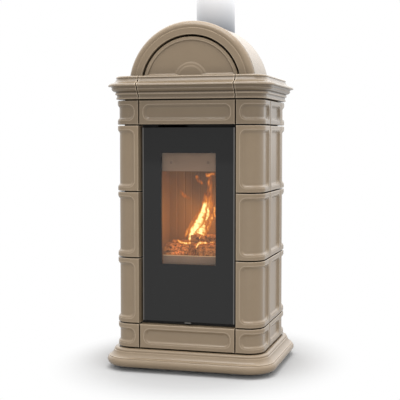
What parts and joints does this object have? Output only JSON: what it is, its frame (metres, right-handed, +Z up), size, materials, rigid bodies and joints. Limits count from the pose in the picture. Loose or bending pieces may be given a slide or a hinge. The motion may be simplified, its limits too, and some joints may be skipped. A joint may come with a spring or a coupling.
{
  "type": "tiled wood stove",
  "caption": "Tall free-standing wood stove clad in panelled glazed tiles, with a moulded plinth and cornice, an arched top, a full-height glass door and a flue pipe.",
  "frame": {"origin": "centre of the bounding box on the floor, under the middle of the plinth", "axes": "+Z up, the door faces -Y, +X to the right seen from the front"},
  "size_m": [0.635, 0.544, 1.43],
  "materials": {
    "glazed_tile": "gloss taupe glaze",
    "black_steel": "matt black heat-proof paint",
    "heat_steel": "steel browned by the fire",
    "zinc_steel": "zinc plated",
    "bright_steel": "plain bright steel",
    "galvanised_sheet": "galvanised sheet",
    "trim_steel": "dark satin strip",
    "flue_steel": "smooth grey flue paint",
    "cast_iron": "sooty cast iron",
    "door_iron": "black painted cast iron",
    "refractory": "pale chamotte, heat stained",
    "vermiculite": "pressed vermiculite board",
    "firewood": "charred bark and split wood",
    "door_glass": "clear pane with a dark border",
    "seal_rope": "braided glass-fibre rope"
  },
  "bodies": {
    "stove": {"air_plate_bolts": "bright_steel", "arch_barrel": "glazed_tile", "arch_lunette": "glazed_tile", "arch_moulding": "glazed_tile", "back_panel": "black_steel", "baffle": "vermiculite", "base_frame": "black_steel", "casing_left": "black_steel", "casing_right": "black_steel", "corner_tile_1_left": "glazed_tile", "corner_tile_1_right": "glazed_tile", "corner_tile_2_left": "glazed_tile", "corner_tile_2_right": "glazed_tile", "corner_tile_3_left": "glazed_tile", "corner_tile_3_right": "glazed_tile", "cornice_front": "glazed_tile", "cornice_left": "glazed_tile", "cornice_right": "glazed_tile", "firebox_shell": "black_steel", "firebrick_back": "refractory", "firebricks_side": "refractory", "flue_pipe": "flue_steel", "flue_spigot": "black_steel", "front_frame": "black_steel", "grate": "cast_iron", "hearth_slab": "refractory", "hinge_pins": "bright_steel", "levelling_feet": "zinc_steel", "log_retainer": "cast_iron", "logs": "firewood", "lower_frieze_corner_left": "glazed_tile", "lower_frieze_corner_right": "glazed_tile", "lower_frieze_front": "glazed_tile", "lower_frieze_side_left": "glazed_tile", "lower_frieze_side_right": "glazed_tile", "plinth": "glazed_tile", "rear_corner_tiles_left": "glazed_tile", "rear_corner_tiles_right": "glazed_tile", "side_tile_1_left": "glazed_tile", "side_tile_1_right": "glazed_tile", "side_tile_2_left": "glazed_tile", "side_tile_2_right": "glazed_tile", "side_tile_3_left": "glazed_tile", "side_tile_3_right": "glazed_tile", "smoke_collector": "black_steel", "top_plate": "black_steel", "upper_air_plate": "heat_steel", "upper_frieze_corner_left": "glazed_tile", "upper_frieze_corner_right": "glazed_tile", "upper_frieze_front": "glazed_tile", "upper_frieze_side_left": "glazed_tile", "upper_frieze_side_right": "glazed_tile"},
    "door": {"door_frame": "door_iron", "door_glass": "door_glass", "door_edge_trims": "trim_steel", "door_seal": "seal_rope"},
    "air_slide": {"air_slider": "bright_steel"},
    "ash_pan": {"ash_pan": "galvanised_sheet"}
  },
  "joints": [
    {"name": "door_hinge", "type": "hinge", "parent": "stove", "child": "door", "pos_m": [-0.162, -0.1965, 0.534], "axis": [0, 0, -1], "range_deg": [0, 90]},
    {"name": "air_slide", "type": "slide", "parent": "stove", "child": "air_slide", "axis": [0, -1, 0], "range_m": [0, 0.03]},
    {"name": "ash_pan_slide", "type": "slide", "parent": "stove", "child": "ash_pan", "axis": [0, -1, 0], "range_m": [0, 0.04]}
  ]
}
